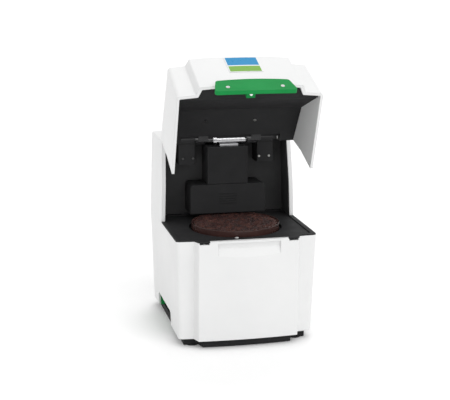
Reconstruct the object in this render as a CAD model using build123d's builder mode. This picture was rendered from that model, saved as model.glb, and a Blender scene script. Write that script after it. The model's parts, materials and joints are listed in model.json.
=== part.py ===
# Near-infrared analyzer for open sample dishes: a white two-part housing with a black
# dish bay and a hinged hood. Millimetres, +Z up, front towards -Y. The origin is on the
# bench, below the plane where the hood's rear edge meets the column. The hood is open.
from build123d import *
from math import atan2, cos, radians, sin, tan
import os

# Housing in plan, measured from the plane of the column's front rim
body_width = 225.0
side_taper = 5.0
top_taper = 4.0
nose_reach = 153.5
nose_taper = 5.0
nose_bulge = 3.5
corner_setback = 18.5
corner_taper = 8.0
corner_sweep = 2.5
step_inset = 28.0
step_run = 5.0
rear_reach = 121.0
corner_round = 6.0
rear_round = 10.0
step_round = 2.0
least_round = 1.0
wall = 3.2

# Housing heights
foot_height = 1.0
plinth_height = 12.5
base_height = 161.0
column_height = 132.5
rim_straight = 56.0
rim_lean = 11.0
rim_blend = 120.0
top_round = 3.0

# Hood, drawn as if closed and then swung open about its hinge
hinge_back = 19.0
hinge_height = 127.5
hood_opening = 68.0
hood_overhang = 0.1
hood_top_taper = 1.75
hood_front_height = 96.5
hood_rear_height = 117.0
hood_crest_reach = 15.0
hood_tail_height = 109.4
hood_wall = 4.0
hood_gap = 1.2
hood_edge_round = 1.9

# Clearances
seat_gap = 0.3
shaft_gap = 0.05
press_gap = 0.02

# Base shell's lip, finger scoop, hand-holds and rear window
lip_half = 62.0
lip_reach = 7.5
lip_depth = 6.0
scoop_half = 49.5
scoop_top_drop = 4.0
scoop_height = 23.0
scoop_depth = 6.0
scoop_shoulder = 8.0
notch_front = 54.0
notch_rear = 63.0
notch_height = 23.0
notch_round = 7.0
window_half = 84.0
window_low = 20.0
window_high = 133.0
window_round = 6.0

# Base plate, feet and hand grips
plinth_inset = 8.5
spigot_height = 4.0
floor_thickness = 3.0
plinth_wall = 3.0
foot_radius = 10.0
foot_pocket = 1.0
foot_inset = 23.5
foot_front_inset = 15.0
foot_rear_inset = 21.0
grip_depth = 22.0
grip_wall = 2.0

# Deck tray and its tabs
deck_thickness = 2.0
deck_margin = 0.4
deck_border = 8.0
deck_dip = 1.5
tray_floor = 2.5
tab_inner = 63.5
tab_outer = 78.0
tab_drop = 4.5
tab_depth = 8.0

# Bay liner, neck and optical head
bay_depth = 50.0
liner_wall = 2.8
ceiling_front = 29.0
ceiling_margin = 8.0
head_half = 63.0
head_bottom = 9.0
head_height = 49.0
head_front = 1.0
head_wall = 2.5
head_round = 6.0
neck_gap = 2.0
neck_height = 119.0
neck_front = 2.0
rib_count = 5
rib_half = 15.0
rib_pitch = 4.0
rib_proud = 0.8

# Optics inside the head and the column
window_back = 11.0
window_half_depth = 5.0
window_left = 16.0
window_right = 5.0
window_border = 2.0
glass_thickness = 2.0
tube_radius = 5.5
tube_wall = 1.0
tube_length = 16.0
mirror_lift = 27.5
mirror_span = 10.0
mirror_half = 5.0
mirror_thickness = 1.5
beam_radius = 4.0
mirror_tilt = 45.0
lamp_side = 26.0
lamp_lift = 23.5
lamp_aim = 6.0
cup_radius = 7.0
cup_belly_radius = 5.6
cup_depth = 9.0
cup_wall = 1.0
cup_neck = 4.0
bulb_radius = 2.2
bulb_length = 6.0
holder_radius = 5.5
holder_length = 6.0
hanger_half = 4.0
spectrometer_half = 50.0
spectrometer_low = 16.0
spectrometer_height = 52.0
spectrometer_depth = 56.0
spectrometer_wall = 2.5

# Electronics on the base plate
supply_right = 12.0
supply_margin = 2.5
supply_length = 108.0
supply_height = 34.0
slot_count = 9
slot_length = 40.0
slot_width = 2.5
slot_depth = 1.5
slot_pitch = 9.0
board_left = 4.0
board_right = 82.0
board_front = 8.0
board_back = 88.0
board_thickness = 1.6
standoff_radius = 3.0
standoff_height = 7.0
standoff_inset = 6.0

# Dish, turntable and drive
dish_radius = 71.0
dish_wall = 2.0
dish_edge = 0.5
dish_height = 14.0
dish_setback = 101.0
dish_proud = 7.0
sample_low = 2.0
sample_crown = 1.2
sample_slope = 16.0
table_lip = 2.0
table_lip_width = 2.0
table_thickness = 4.0
well_clearance = 1.5
well_float = 1.5
well_wall = 2.5
hub_radius = 12.0
hub_length = 8.0
spindle_radius = 5.0
spindle_tail = 4.0
spindle_chamfer = 0.6
bearing_radius = 13.0
bearing_height = 8.0
housing_wall = 4.0
housing_length = 50.0
housing_flange = 10.0
housing_flange_thickness = 4.0
pulley_radius = 30.0
motor_pulley_radius = 9.0
pulley_height = 9.0
pulley_flange = 2.0
pulley_flange_thickness = 1.2
pulley_drop = 3.0
belt_thickness = 1.6
motor_offset = 68.0
motor_radius = 18.0
motor_length = 42.0
motor_round = 2.2
motor_shaft_radius = 2.5
drive_plate_thickness = 3.0
drive_plate_margin = 20.0
pillar_radius = 4.0

# Hinge
rod_radius = 3.2
rod_chamfer = 0.5
rod_inset = 1.0
barrel_radius = 5.2
bracket_inset = 32.5
bracket_width = 27.0
bracket_front = 15.0
bracket_drop = 37.0
bracket_top_drop = 3.5
bracket_screw_drop = 27.0
bracket_screw_edge = 3.0
bracket_screw_pitch = 17.0
bracket_screw_radius = 2.1
arm_gap = 1.0
arm_width = 16.0
arm_thickness = 4.0
damper_left = 21.5
damper_right = 32.0
damper_radius = 4.3
collar_radius = 6.2
collar_length = 6.0
saddle_left = 11.0
saddle_right = 20.0

# Hood liner, handle, latch and label
liner_rear_back = 5.0
liner_rear_height = 98.9
liner_bend_reach = 68.0
liner_bend_height = 79.0
liner_low_setback = 29.5
liner_low_height = 11.0
liner_sheet = 2.5
recess_depth = 16.0
recess_margin = 2.0
hood_notch = 0.7
arm_length = 9.5
arm_bend = 2.0
handle_half_top = 56.0
handle_half_low = 63.0
handle_top = 6.0
handle_bottom = -27.0
handle_crown = 1.5
handle_arch = 3.0
handle_proud = 7.0
handle_round = 5.0
handle_screw_side = 41.5
handle_screw_drop = 16.5
handle_screw_radius = 3.2
screw_head = 1.4
screw_round = 0.5
handle_standoff = 1.0
latch_half = 6.8
latch_setback = 17.0
latch_setback_rear = 23.5
latch_low = 2.5
latch_screw_radius = 2.6
latch_screw_height = 1.4
magnet_radius = 5.0
magnet_height = 5.0
liner_screw_left = 47.0
liner_screw_right = 34.0
liner_screw_reach = 43.5
liner_screw_radius = 2.6
label_half = 26.0
label_low = 41.0
label_high = 89.0
label_proud = 0.5

# Rear panel and what it carries
panel_thickness = 1.5
panel_margin = 6.0
panel_screw_radius = 2.4
panel_screw_inset = 15.0
fan_size = 60.0
fan_depth = 15.0
fan_x = -40.0
fan_lift = 75.0
fan_bore = 28.5
fan_hub = 12.0
fan_axle = 2.0
fan_blades = 7
fan_blade_reach = 27.5
fan_blade_thickness = 1.6
fan_blade_turn = 35.0
fan_floor = 3.0
fan_strut = 3.0
fan_struts = 3
grille_rings = 4
grille_wire = 1.6
grille_depth = 1.5
grille_spokes = 4
port_column = 48.0
inlet_lift = 35.0
inlet_width = 28.0
inlet_height = 21.0
inlet_depth = 26.0
socket_wall = 3.0
socket_depth = 18.0
blade_width = 4.0
blade_thickness = 2.0
blade_length = 14.0
blade_pitch = 7.0
blade_offset = 2.5
flange_border = 4.0
flange_depth = 2.5
switch_lift = 73.0
switch_width = 14.0
switch_height = 20.0
switch_depth = 16.0
rocker_tilt = 8.0
rocker_half = 7.4
rocker_width = 9.0
rocker_face = 1.8
rocker_pin_radius = 1.0
rocker_pin_length = 1.6
rocker_shoulder = 0.2
rocker_heel = 3.5
rocker_depth = 3.0
rocker_room = 5.0
port_lift = 107.0
port_width = 16.0
port_height = 13.0
port_depth = 14.0
port_wall = 2.0
port_socket = 11.0

# Deck stud
stud_radius = 3.2
stud_height = 2.5
stud_round = 1.9
stud_x = -16.0
stud_margin = 1.0

shell_bottom = foot_height + plinth_height
deck = shell_bottom + base_height
shell_top = deck - deck_thickness
inlet_z = shell_bottom + inlet_lift
switch_z = shell_bottom + switch_lift
port_z = shell_bottom + port_lift
fan_z = shell_bottom + fan_lift
tray_top = deck - deck_dip
column_top = deck + column_height
hinge_z = deck + hinge_height
half = body_width / 2
foot_width = body_width - 2 * side_taper
top_width = body_width - 2 * top_taper
hood_width = body_width + 2 * hood_overhang
hood_top_width = body_width - 2 * hood_top_taper
corner_reach = nose_reach - corner_setback
corner_reach_low = corner_reach - corner_taper
nose_reach_low = nose_reach - nose_taper
step_half_outer = half - step_inset
step_half_inner = step_half_outer - step_run
bracket_outer = half - bracket_inset
bracket_inner = bracket_outer - bracket_width
rod_half = bracket_outer - rod_inset
recess_half = bracket_outer + recess_margin
ceiling_half = bracket_outer + ceiling_margin
arm_outer = bracket_inner - arm_gap
arm_inner = arm_outer - arm_width
neck_half = arm_inner - neck_gap
dish_back_reach = nose_reach - dish_setback
liner_low_reach = nose_reach - liner_low_setback
latch_reach = nose_reach - latch_setback
latch_back = nose_reach - latch_setback_rear
foot_side = foot_width / 2 - foot_inset
foot_front = corner_reach_low - foot_front_inset
foot_rear = rear_reach - foot_rear_inset
inside = wall + seat_gap
rim_flange = inside + liner_wall
through = body_width
hood_tail_back = rim_lean * (hood_tail_height - rim_straight) / (column_height - rim_straight) - hood_gap
beam_z = deck + head_bottom + mirror_lift
ceiling = column_top - inside - liner_wall
notch_lip_half = ceiling_half + liner_wall

os.makedirs("parts", exist_ok=True)


def save(piece, name):
    """Labels a finished piece and writes it to its own file."""
    piece.part.label = name
    export_step(piece.part, f"parts/{name}.step")


def between(low, high, start, end, z):
    """Size at height z of a side that runs straight from low at start to high at end."""
    return low + (high - low) * (z - start) / (end - start)


def plan(level, width, corner, nose, rear, grow=0.0):
    """Face of the housing's plan: flat sides and back, and a proud front centre between two small steps."""
    side = width / 2 + grow
    inner = step_half_inner + grow
    outer = step_half_outer + grow
    edge = -(nose - nose_bulge + grow)
    shoulder = -(corner + corner_sweep + grow)
    tip = -(corner + grow)
    back = rear + grow
    with BuildSketch(level) as outline:
        with BuildLine():
            Polyline(
                (inner, edge), (outer, shoulder), (side, tip), (side, back),
                (-side, back), (-side, tip), (-outer, shoulder), (-inner, edge),
            )
            ThreePointArc((-inner, edge), (0, -(nose + grow)), (inner, edge))
        make_face()
        steps = outline.vertices().filter_by(lambda v: abs(v.X) < side - least_round and v.Y < 0)
        fillet(steps, step_round)
        columns = outline.vertices().group_by(Axis.X)
        front = [columns[0].sort_by(Axis.Y)[0], columns[-1].sort_by(Axis.Y)[0]]
        fillet(front, max(corner_round + grow, least_round))
        fillet(outline.vertices().group_by(Axis.Y)[-1], max(rear_round + grow, least_round))
    return outline.sketch


def base_plan(z, grow=0.0):
    """Plan of the base housing at height z."""
    level = [between(a, b, shell_bottom, deck, z) for a, b in (
        (foot_width, body_width), (corner_reach_low, corner_reach), (nose_reach_low, nose_reach))]
    return plan(Plane.XY.offset(z), *level, rear_reach, grow)


def base_block(low, high, grow=0.0, mode=Mode.ADD):
    """The base housing between two heights as one block, or its hollow."""
    loft(sections=[base_plan(low, grow).face(), base_plan(high, grow).face()], ruled=True, mode=mode)


def rectangle_at(level, x_low, x_high, y_low, y_high, corner=0.0):
    """A rectangle between four coordinates of a plane, with rounded corners if asked."""
    with BuildSketch(level) as area:
        with Locations(((x_low + x_high) / 2, (y_low + y_high) / 2)):
            if corner > 0:
                RectangleRounded(x_high - x_low, y_high - y_low, corner)
            else:
                Rectangle(x_high - x_low, y_high - y_low)
    return area.sketch


def outline_at(level, points):
    """A face with straight edges on a plane."""
    with BuildSketch(level) as area:
        with BuildLine():
            Polyline(*points, close=True)
        make_face()
    return area.sketch


def column_plan(z, grow):
    """Plan of the column at height z, from the rim plane to the back."""
    width = between(body_width, top_width, deck, column_top, z)
    with BuildSketch(Plane.XY.offset(z)) as area:
        with Locations((0, rear_reach / 2)):
            Rectangle(width + 2 * grow, rear_reach + 2 * grow)
        fillet(area.vertices().group_by(Axis.Y)[-1], rear_round + grow)
    return area.sketch


def column_block(low, grow=0.0):
    """The column from height low to its top as one block; grow moves every face outward."""
    top = column_top + grow
    with BuildPart() as block:
        loft(sections=[column_plan(low, grow).face(), column_plan(top, grow).face()], ruled=True)
        with BuildSketch(Plane.YZ) as profile:
            with BuildLine():
                Polyline(
                    (-grow, low), (-grow, deck + rim_straight), (rim_lean - grow, column_top),
                    (rim_lean - grow, column_top + wall), (through, column_top + wall), (through, low),
                    close=True,
                )
            make_face()
            bend = profile.vertices().filter_by(lambda v: abs(v.Z - deck - rim_straight) < least_round)
            fillet(bend, rim_blend)
        extrude(amount=through, both=True, mode=Mode.INTERSECT)
    return block.part


# Base shell
lip_low = shell_top - lip_depth
scoop_high = deck - scoop_top_drop
scoop_low = scoop_high - scoop_height
scoop_back = scoop_low - wall
with BuildSketch(Plane.XY.offset(lip_low)) as lip_area:
    add(base_plan(lip_low).moved(Location((0, 0, -lip_low))))
    lip_front = rectangle_at(Plane.XY, -lip_half, lip_half, -nose_reach, lip_reach - nose_reach)
    add(lip_front, mode=Mode.INTERSECT)
with BuildSketch(Plane.XY.offset(scoop_back)) as scoop_area:
    add(base_plan(scoop_back).moved(Location((0, 0, -scoop_back))))
    add(
        rectangle_at(
            Plane.XY, -scoop_half - wall, scoop_half + wall, -nose_reach, scoop_depth + wall - nose_reach
        ),
        mode=Mode.INTERSECT,
    )
with BuildPart() as base_shell:
    base_block(shell_bottom, shell_top)
    base_block(shell_bottom, shell_top, -wall, Mode.SUBTRACT)
    extrude(lip_area.sketch, amount=lip_depth + deck_thickness)
    extrude(scoop_area.sketch, amount=shell_top - tray_floor - seat_gap - scoop_back)
    scoop_face = outline_at(Plane.YZ, [
        (-nose_reach - wall, scoop_high), (lip_reach - wall - nose_reach, scoop_high),
        (scoop_depth - nose_reach, scoop_high - scoop_shoulder),
        (-between(nose_reach_low, nose_reach, shell_bottom, deck, scoop_low), scoop_low),
        (-nose_reach - wall, scoop_low),
    ])
    extrude(scoop_face, amount=scoop_half, both=True, mode=Mode.SUBTRACT)
    notch_face = rectangle_at(
        Plane.YZ, -notch_front, notch_rear,
        shell_bottom - notch_height, shell_bottom + notch_height, notch_round,
    )
    extrude(notch_face, amount=through, both=True, mode=Mode.SUBTRACT)
    window_face = rectangle_at(
        Plane.XZ.offset(-rear_reach - wall), -window_half, window_half,
        shell_bottom + window_low, shell_bottom + window_high, window_round,
    )
    extrude(window_face, amount=wall + inside, mode=Mode.SUBTRACT)
    for side in (-1, 1):
        tab_seat = rectangle_at(
            Plane.XY.offset(deck - tab_drop - seat_gap),
            *sorted((side * (tab_inner - seat_gap), side * (tab_outer + seat_gap))),
            -nose_reach - wall, tab_depth + seat_gap - nose_reach,
        )
        extrude(tab_seat, amount=tab_drop + seat_gap, mode=Mode.SUBTRACT)
save(base_shell, "base_shell")

# Column shell
column_outer = column_block(shell_top)
column_inner = column_block(shell_top, -wall)


def bay_face(z):
    """Plan of the open bay at height z, between the liner's side walls."""
    reach = between(body_width, top_width, deck, column_top, z) / 2 - rim_flange
    return rectangle_at(Plane.XY.offset(z), -reach, reach, -bay_depth, bay_depth).face()


with BuildPart() as bay_space:
    loft(sections=[bay_face(shell_top), bay_face(ceiling)], ruled=True)
    notch_top = rectangle_at(
        Plane.XY.offset(ceiling), -ceiling_half, ceiling_half, -bay_depth, ceiling_front
    )
    extrude(notch_top, amount=bay_depth)
with BuildPart() as column_shell:
    add(column_outer)
    top_edges = column_shell.faces().sort_by(Axis.Z)[-1].edges()
    fillet(top_edges.sort_by(Axis.Y)[1:], top_round)
    add(column_inner, mode=Mode.SUBTRACT)
    add(bay_space.part, mode=Mode.SUBTRACT)
    lip_room = rectangle_at(
        Plane.XY.offset(ceiling), -notch_lip_half - seat_gap, notch_lip_half + seat_gap,
        -bay_depth, ceiling_front + liner_wall + seat_gap,
    )
    extrude(lip_room, amount=bay_depth, mode=Mode.SUBTRACT)
save(column_shell, "column_shell")

# Bay liner, the black box behind the rim, with a lip up through the notch in the column's top
liner_outer = column_block(deck, -inside)
with BuildPart() as notch_lip:
    lip_face = rectangle_at(
        Plane.XY.offset(ceiling), -notch_lip_half, notch_lip_half, 0, ceiling_front + liner_wall
    )
    extrude(lip_face, amount=column_top - ceiling)
    add(column_outer, mode=Mode.INTERSECT)
with BuildPart() as bay_liner:
    add(liner_outer)
    keep = rectangle_at(Plane.XY.offset(deck), -half, half, 0, bay_depth + liner_wall)
    extrude(keep, amount=column_height, mode=Mode.INTERSECT)
    add(notch_lip.part)
    add(bay_space.part, mode=Mode.SUBTRACT)
    with BuildSketch(Plane.XZ.offset(-bay_depth - liner_wall)):
        with Locations((0, beam_z)):
            Circle(beam_radius)
    extrude(amount=liner_wall, mode=Mode.SUBTRACT)
save(bay_liner, "bay_liner")

# Base plate, feet and the green hand grips
spigot_top = shell_bottom + spigot_height
with BuildPart() as base_plate:
    base_block(foot_height, shell_bottom, -plinth_inset)
    base_block(shell_bottom, spigot_top, -inside)
    base_block(foot_height + floor_thickness, spigot_top, -plinth_inset - plinth_wall, Mode.SUBTRACT)
    with BuildSketch(Plane.XY.offset(foot_height)) as foot_seats:
        for x in (-foot_side, foot_side):
            with Locations((x, -foot_front), (x, foot_rear)):
                Circle(foot_radius)
    extrude(amount=foot_pocket, mode=Mode.SUBTRACT)
    for side in (-1, 1):
        grip_room = rectangle_at(
            Plane.XY.offset(shell_bottom), *sorted((side * (half - plinth_inset - grip_depth), side * half)),
            -notch_front, notch_rear,
        )
        extrude(grip_room, amount=spigot_height, mode=Mode.SUBTRACT)
    with BuildSketch(Plane.XY.offset(foot_height + floor_thickness)):
        for x in (board_left + standoff_inset, board_right - standoff_inset):
            with Locations((x, board_front + standoff_inset), (x, board_back - standoff_inset)):
                Circle(standoff_radius)
    extrude(amount=standoff_height)
save(base_plate, "base_plate")

with BuildPart() as feet:
    with BuildSketch() as foot_faces:
        for x in (-foot_side, foot_side):
            with Locations((x, -foot_front), (x, foot_rear)):
                Circle(foot_radius)
    extrude(amount=foot_height + foot_pocket)
save(feet, "feet")

grip_outer = foot_width / 2 - inside
grip_top = shell_bottom + notch_height - seat_gap
for side, name in ((-1, "hand_grip_left"), (1, "hand_grip_right")):
    with BuildPart() as hand_grip:
        shape = rectangle_at(
            Plane.XY.offset(shell_bottom), *sorted((side * (grip_outer - grip_depth), side * grip_outer)),
            seat_gap - notch_front, notch_rear - seat_gap,
        )
        extrude(shape, amount=grip_top - shell_bottom)
        room = rectangle_at(
            Plane.XY.offset(shell_bottom),
            *sorted((side * (grip_outer - grip_depth + grip_wall), side * (grip_outer + grip_wall))),
            seat_gap + grip_wall - notch_front, notch_rear - seat_gap - grip_wall,
        )
        extrude(room, amount=grip_top - shell_bottom - grip_wall, mode=Mode.SUBTRACT)
    save(hand_grip, name)

# Deck tray with the dish well
table_radius = dish_radius + seat_gap + table_lip_width
well_radius = table_radius + well_clearance
dish_bottom = deck + dish_proud - dish_height
table_bottom = dish_bottom - table_thickness
well_floor = table_bottom - well_float
well_bottom = well_floor - well_wall
dish_spot = (0, -dish_back_reach)
tray_low = shell_top - tray_floor
with BuildPart() as deck_tray:
    rim_face = plan(
        Plane.XY.offset(shell_top), body_width, corner_reach, nose_reach, rear_reach, -deck_margin
    )
    extrude(rim_face, amount=deck_thickness)
    front_only = rectangle_at(Plane.XY.offset(shell_top), -half, half, -nose_reach, -hood_gap)
    extrude(front_only, amount=deck_thickness, mode=Mode.INTERSECT)
    for side in (-1, 1):
        tab = rectangle_at(
            Plane.XY.offset(deck - tab_drop), *sorted((side * tab_inner, side * tab_outer)),
            nose_bulge + deck_margin + step_round - nose_reach, tab_depth - nose_reach,
        )
        extrude(tab, amount=tab_drop)
    low_face = plan(
        Plane.XY.offset(tray_low), body_width, corner_reach, nose_reach, bay_depth + liner_wall, -inside
    )
    extrude(low_face, amount=tray_floor + deck_thickness)
    lip_room = rectangle_at(
        Plane.XY.offset(tray_low), -lip_half - seat_gap, lip_half + seat_gap,
        -nose_reach, lip_reach + seat_gap - nose_reach,
    )
    extrude(lip_room, amount=tray_floor + deck_thickness, mode=Mode.SUBTRACT)
    for side in (-1, 1):
        rim_room = rectangle_at(
            Plane.XY.offset(shell_top), *sorted((side * (half - rim_flange - seat_gap), side * half)),
            -hood_gap, inside,
        )
        extrude(rim_room, amount=deck_thickness, mode=Mode.SUBTRACT)
    dip = plan(Plane.XY.offset(tray_top), body_width, corner_reach, nose_reach, bay_depth, -deck_border)
    extrude(dip, amount=deck_dip, mode=Mode.SUBTRACT)
    with BuildSketch(Plane.XY.offset(well_bottom)):
        with Locations(dish_spot):
            Circle(well_radius + well_wall)
    extrude(amount=tray_low - well_bottom)
    with BuildSketch(Plane.XY.offset(well_floor)):
        with Locations(dish_spot):
            Circle(well_radius)
    extrude(amount=deck - well_floor, mode=Mode.SUBTRACT)
    with BuildSketch(Plane.XY.offset(well_bottom)):
        with Locations(dish_spot):
            Circle(hub_radius + well_float)
    extrude(amount=well_wall, mode=Mode.SUBTRACT)
save(deck_tray, "deck_tray")

# Optical head and neck
head_low = deck + head_bottom
head_top = head_low + head_height
neck_top = deck + neck_height
with BuildPart() as optical_head:
    head_face = rectangle_at(Plane.XZ.offset(-bay_depth), -head_half, head_half, head_low, head_top)
    extrude(head_face, amount=bay_depth - head_front)
    upper = optical_head.edges().filter_by(Axis.Y).group_by(Axis.Z)[-1]
    fillet(upper, head_round)
    fillet(optical_head.faces().sort_by(Axis.Y)[0].edges(), head_wall / 2)
    head_room = rectangle_at(
        Plane.XZ.offset(-bay_depth), head_wall - head_half, head_half - head_wall,
        head_low + head_wall, head_top - head_wall,
    )
    extrude(head_room, amount=bay_depth - head_front - head_wall, mode=Mode.SUBTRACT)
    slot = rectangle_at(
        Plane.XY.offset(head_low), -window_left, window_right,
        window_back - window_half_depth, window_back + window_half_depth, window_half_depth - press_gap,
    )
    extrude(slot, amount=head_wall, mode=Mode.SUBTRACT)
    for number in range(rib_count):
        rib_z = head_low + head_height / 2 + (number - (rib_count - 1) / 2) * rib_pitch
        rib = rectangle_at(
            Plane.XZ.offset(-head_front), -rib_half, rib_half, rib_z - rib_proud / 2, rib_z + rib_proud / 2
        )
        extrude(rib, amount=rib_proud)
save(optical_head, "optical_head")
with BuildPart() as neck_cover:
    neck_face = rectangle_at(Plane.XZ.offset(-bay_depth), -neck_half, neck_half, head_top, neck_top)
    extrude(neck_face, amount=bay_depth - neck_front)
    fillet(neck_cover.faces().sort_by(Axis.Y)[0].edges(), head_wall / 2)
    neck_room = rectangle_at(
        Plane.XZ.offset(-bay_depth), head_wall - neck_half, neck_half - head_wall,
        head_top - head_wall, neck_top - head_wall,
    )
    extrude(neck_room, amount=bay_depth - neck_front - head_wall, mode=Mode.SUBTRACT)
save(neck_cover, "neck_cover")

# Dish with its sample, and the turntable under it
with BuildPart() as sample_dish:
    with BuildSketch(Plane.XY.offset(dish_bottom)):
        with Locations(dish_spot):
            Circle(dish_radius)
    extrude(amount=dish_height)
    with BuildSketch(Plane.XY.offset(dish_bottom + dish_wall)):
        with Locations(dish_spot):
            Circle(dish_radius - dish_wall)
    extrude(amount=dish_height - dish_wall, mode=Mode.SUBTRACT)
    fillet(sample_dish.faces().sort_by(Axis.Z)[-1].edges(), dish_edge)
save(sample_dish, "sample_dish")

sample_top = dish_bottom + dish_height - sample_low
sample_radius = dish_radius - dish_wall - press_gap
with BuildPart() as sample_fill:
    with BuildSketch(Plane.XY.offset(dish_bottom + dish_wall)):
        with Locations(dish_spot):
            Circle(sample_radius)
    extrude(amount=sample_top + sample_crown - dish_bottom - dish_wall)
    chamfer(sample_fill.faces().sort_by(Axis.Z)[-1].edges(), sample_crown, sample_slope)
save(sample_fill, "sample_fill")

with BuildPart() as turntable:
    with BuildSketch(Plane.XY.offset(table_bottom)):
        with Locations(dish_spot):
            Circle(table_radius)
    extrude(amount=table_thickness + table_lip)
    with BuildSketch(Plane.XY.offset(dish_bottom)):
        with Locations(dish_spot):
            Circle(table_radius - table_lip_width)
    extrude(amount=table_lip, mode=Mode.SUBTRACT)
    with BuildSketch(Plane.XY.offset(table_bottom)):
        with Locations(dish_spot):
            Circle(hub_radius)
    extrude(amount=-hub_length)
    with Locations((0, -dish_back_reach, table_bottom - hub_length)):
        Hole(spindle_radius + press_gap, depth=hub_length)
save(turntable, "turntable")

# Spindle in its two bearings, and their housing under the well
housing_top = well_bottom
housing_low = housing_top - housing_length
pulley_top = housing_low - drive_plate_thickness - pulley_drop
pulley_low = pulley_top - pulley_height
with BuildPart() as spindle:
    with BuildSketch(Plane.XY.offset(pulley_low - spindle_tail)):
        with Locations(dish_spot):
            Circle(spindle_radius)
    extrude(amount=table_bottom - press_gap - pulley_low + spindle_tail)
    chamfer(spindle.faces().sort_by(Axis.Z)[0].edges(), spindle_chamfer)
save(spindle, "spindle")

with BuildPart() as bearing_housing:
    with BuildSketch(Plane.XY.offset(housing_low)):
        with Locations(dish_spot):
            Circle(bearing_radius + housing_wall)
    extrude(amount=housing_length)
    with BuildSketch(Plane.XY.offset(housing_top)):
        with Locations(dish_spot):
            Circle(bearing_radius + housing_wall + housing_flange)
    extrude(amount=-housing_flange_thickness)
    with BuildSketch(Plane.XY.offset(housing_low)):
        with Locations(dish_spot):
            Circle(bearing_radius + press_gap)
    extrude(amount=housing_length, mode=Mode.SUBTRACT)
save(bearing_housing, "bearing_housing")

hub_low = table_bottom - hub_length
upper_bearing = hub_low - well_float - bearing_height
with BuildPart() as spindle_bearings:
    for low in (housing_low, upper_bearing):
        with BuildSketch(Plane.XY.offset(low)):
            with Locations(dish_spot):
                Circle(bearing_radius)
                Circle(spindle_radius + shaft_gap, mode=Mode.SUBTRACT)
        extrude(amount=bearing_height)
save(spindle_bearings, "spindle_bearings")


def pulley(radius, bore, spot):
    """Flanged belt pulley on a vertical shaft at spot."""
    with BuildPart() as wheel:
        with BuildSketch(Plane.XY.offset(pulley_low)):
            with Locations(spot):
                Circle(radius)
        extrude(amount=pulley_height)
        for level, way in ((pulley_low, 1), (pulley_top, -1)):
            with BuildSketch(Plane.XY.offset(level)):
                with Locations(spot):
                    Circle(radius + pulley_flange)
            extrude(amount=way * pulley_flange_thickness)
        with Locations((*spot, pulley_top)):
            Hole(bore + press_gap, depth=pulley_height)
    return wheel


motor_spot = (motor_offset, -dish_back_reach)
save(pulley(pulley_radius, spindle_radius, dish_spot), "spindle_pulley")
save(pulley(motor_pulley_radius, motor_shaft_radius, motor_spot), "motor_pulley")

belt_low = pulley_low + pulley_flange_thickness + seat_gap
belt_high = pulley_top - pulley_flange_thickness - seat_gap


def belt_face(grow):
    """Area inside a belt that runs round both pulleys, grow mm off them."""
    with BuildSketch(Plane.XY.offset(belt_low)) as area:
        with BuildLine():
            CenterArc(dish_spot, pulley_radius + grow, 0, 360)
            CenterArc(motor_spot, motor_pulley_radius + grow, 0, 360)
        make_hull()
    return area.sketch


with BuildPart() as drive_belt:
    extrude(belt_face(seat_gap + belt_thickness), amount=belt_high - belt_low)
    extrude(belt_face(seat_gap), amount=belt_high - belt_low, mode=Mode.SUBTRACT)
save(drive_belt, "drive_belt")

plate_low = housing_low - drive_plate_thickness
plate_left = -bearing_radius - housing_wall - drive_plate_margin
plate_right = motor_offset + motor_radius
plate_front = -dish_back_reach - motor_radius - drive_plate_margin
plate_back = -dish_back_reach + motor_radius + drive_plate_margin
pillar_spots = [(x, y) for x in (plate_left + 2 * pillar_radius, plate_right - 2 * pillar_radius)
                for y in (plate_front + 2 * pillar_radius, plate_back - 2 * pillar_radius)]
with BuildPart() as drive_plate:
    plate_face = rectangle_at(
        Plane.XY.offset(plate_low), plate_left, plate_right, plate_front, plate_back, pillar_radius
    )
    extrude(plate_face, amount=drive_plate_thickness)
    with Locations((*dish_spot, housing_low)):
        Hole(spindle_radius + well_float, depth=drive_plate_thickness)
    with Locations((*motor_spot, housing_low)):
        Hole(motor_shaft_radius + well_float, depth=drive_plate_thickness)
save(drive_plate, "drive_plate")

floor_top = foot_height + floor_thickness
with BuildPart() as drive_pillars:
    with BuildSketch(Plane.XY.offset(floor_top)):
        with Locations(*pillar_spots):
            Circle(pillar_radius)
    extrude(amount=plate_low - floor_top)
save(drive_pillars, "drive_pillars")

with BuildPart() as drive_motor:
    with BuildSketch(Plane.XY.offset(housing_low)):
        with Locations(motor_spot):
            Circle(motor_radius)
    extrude(amount=motor_length)
    fillet(drive_motor.faces().sort_by(Axis.Z)[-1].edges(), motor_round)
    with BuildSketch(Plane.XY.offset(housing_low)):
        with Locations(motor_spot):
            Circle(motor_shaft_radius + shaft_gap)
    extrude(amount=motor_length / 2, mode=Mode.SUBTRACT)
save(drive_motor, "drive_motor")

with BuildPart() as motor_shaft:
    with BuildSketch(Plane.XY.offset(pulley_low)):
        with Locations(motor_spot):
            Circle(motor_shaft_radius)
    extrude(amount=housing_low + motor_length / 2 - seat_gap - pulley_low)
save(motor_shaft, "motor_shaft")

# Hinge: a steel rod in two black brackets, with a damper and a saddle on the neck
with BuildPart() as hinge_rod:
    with BuildSketch(Plane.YZ):
        with Locations((hinge_back, hinge_z)):
            Circle(rod_radius)
    extrude(amount=rod_half, both=True)
    chamfer(hinge_rod.edges().filter_by(GeomType.CIRCLE), rod_chamfer)
save(hinge_rod, "hinge_rod")


def spanned(side, inner, outer):
    """Start and length along X of a piece between two distances on one side."""
    return (inner, outer - inner) if side > 0 else (-outer, outer - inner)


bracket_low = hinge_z - bracket_drop
bracket_high = hinge_z - bracket_top_drop
for side, name in ((-1, "hinge_bracket_left"), (1, "hinge_bracket_right")):
    start, length = spanned(side, bracket_inner, bracket_outer)
    with BuildPart() as bracket:
        with BuildSketch(Plane.YZ.offset(start)):
            add(rectangle_at(Plane.XY, bracket_front, bay_depth, bracket_low, bracket_high))
            with Locations((hinge_back, hinge_z)):
                Circle(barrel_radius)
                Circle(rod_radius + press_gap, mode=Mode.SUBTRACT)
        extrude(amount=length)
    save(bracket, name)

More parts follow.
